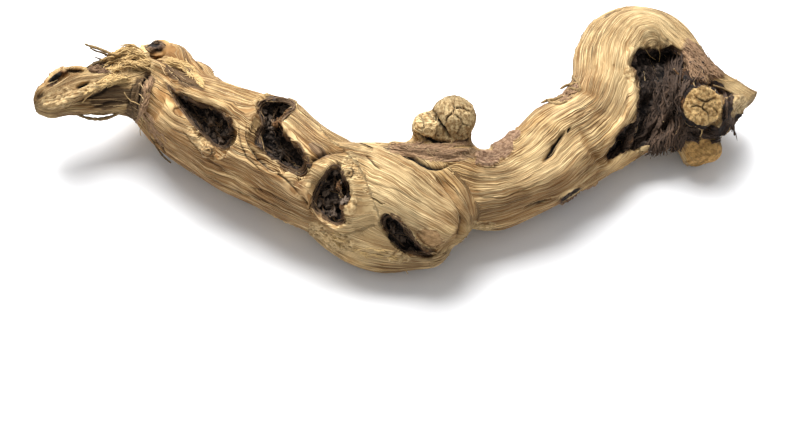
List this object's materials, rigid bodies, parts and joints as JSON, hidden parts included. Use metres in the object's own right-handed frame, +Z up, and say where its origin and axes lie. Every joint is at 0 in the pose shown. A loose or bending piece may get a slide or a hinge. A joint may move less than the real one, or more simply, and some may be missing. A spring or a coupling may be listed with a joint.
{
  "type": "grapevine driftwood",
  "caption": "Gnarled length of old grapevine wood with rotted hollows, a spur knob, a curled bend and sawn cane stubs, made to lie on a surface.",
  "frame": {"origin": "middle of the footprint's bounding box, on the surface that the wood rests on", "axes": "+X along the wood from the thin left arm to the sawn head, +Z up from the surface, -Y toward the side that the hollows face"},
  "size_m": [0.4016, 0.1673, 0.0601],
  "materials": {
    "vine_wood": "weathered, rough, sand-blasted"
  },
  "bodies": {
    "root": {"driftwood": "vine_wood"}
  },
  "joints": []
}
